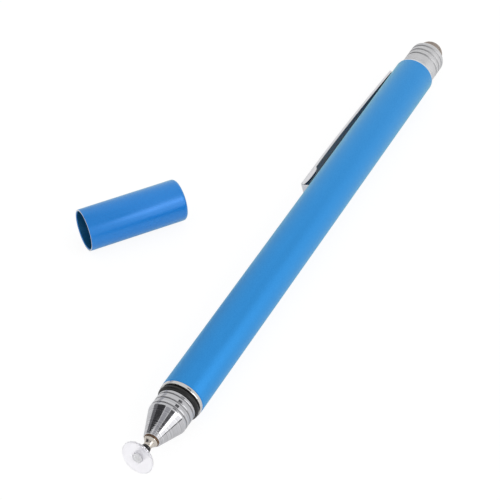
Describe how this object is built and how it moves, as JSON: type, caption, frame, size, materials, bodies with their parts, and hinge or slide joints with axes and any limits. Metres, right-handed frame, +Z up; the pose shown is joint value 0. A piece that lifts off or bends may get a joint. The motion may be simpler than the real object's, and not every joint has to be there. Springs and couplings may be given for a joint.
{
  "type": "stylus pen",
  "caption": "Slim touch-screen stylus pen with a sprung clip, a ball-jointed clear disc tip on a grooved cone nose, a woven dome at the other end and a pull-off cap lying beside it.",
  "frame": {"origin": "on the table under the middle of the set as it lies, pen and cap together", "axes": "+X along the pen from the disc tip to the woven tip, +Y towards the cap, +Z up from the table"},
  "size_m": [0.137, 0.0482, 0.009],
  "materials": {
    "blue_anodised": "satin anodised blue",
    "chrome": "bright chrome with fine turned lines",
    "steel": "turned steel",
    "nickel": "warm nickel plate",
    "brass": "plain brass",
    "black_rubber": "matt black rubber",
    "black_plastic": "black moulded plastic",
    "clear_disc": "clear, slightly frosted film",
    "clear_hub": "clear moulded plastic",
    "soft_core": "soft rubber",
    "woven_fibre": "fine conductive knit"
  },
  "bodies": {
    "pen": {"barrel": "blue_anodised", "nose_collar": "steel", "seal_ring": "black_rubber", "nose_cone": "chrome", "tip_bush": "brass", "rear_bush": "brass", "rear_ferrule": "chrome", "fibre_core": "soft_core", "fibre_dome": "woven_fibre"},
    "tip": {"tip_ferrule": "nickel", "stop_ring": "black_plastic"},
    "ball": {"ball_stem": "steel"},
    "disc": {"disc_socket": "clear_hub", "touch_disc": "clear_disc"},
    "clip": {"clip": "chrome"},
    "cap": {"cap_shell": "blue_anodised"}
  },
  "joints": [
    {"name": "tip_pull", "type": "slide", "parent": "pen", "child": "tip", "axis": [-1, 0, 0], "range_m": [0, 0.0054]},
    {"name": "ball_spin", "type": "hinge", "parent": "tip", "child": "ball", "pos_m": [-0.06618, -0.01958, 0.0045], "axis": [1, 0, 0], "continuous": true},
    {"name": "disc_tilt", "type": "hinge", "parent": "ball", "child": "disc", "pos_m": [-0.06618, -0.01958, 0.0045], "axis": [0, 0.9135, -0.4067], "range_deg": [-37, 13]},
    {"name": "clip_flex", "type": "hinge", "parent": "pen", "child": "clip", "pos_m": [0.05561, -0.01523, 0.00334], "axis": [0, -0.2588, -0.9659], "range_deg": [0, 4], "stiffness_Nm_per_rad": 0.6, "springref_deg": -1.72},
    {"name": "cap_pull", "type": "slide", "parent": "pen", "child": "cap", "axis": [0.8003, -0.5996, 0], "range_m": [0, 0.016]}
  ]
}
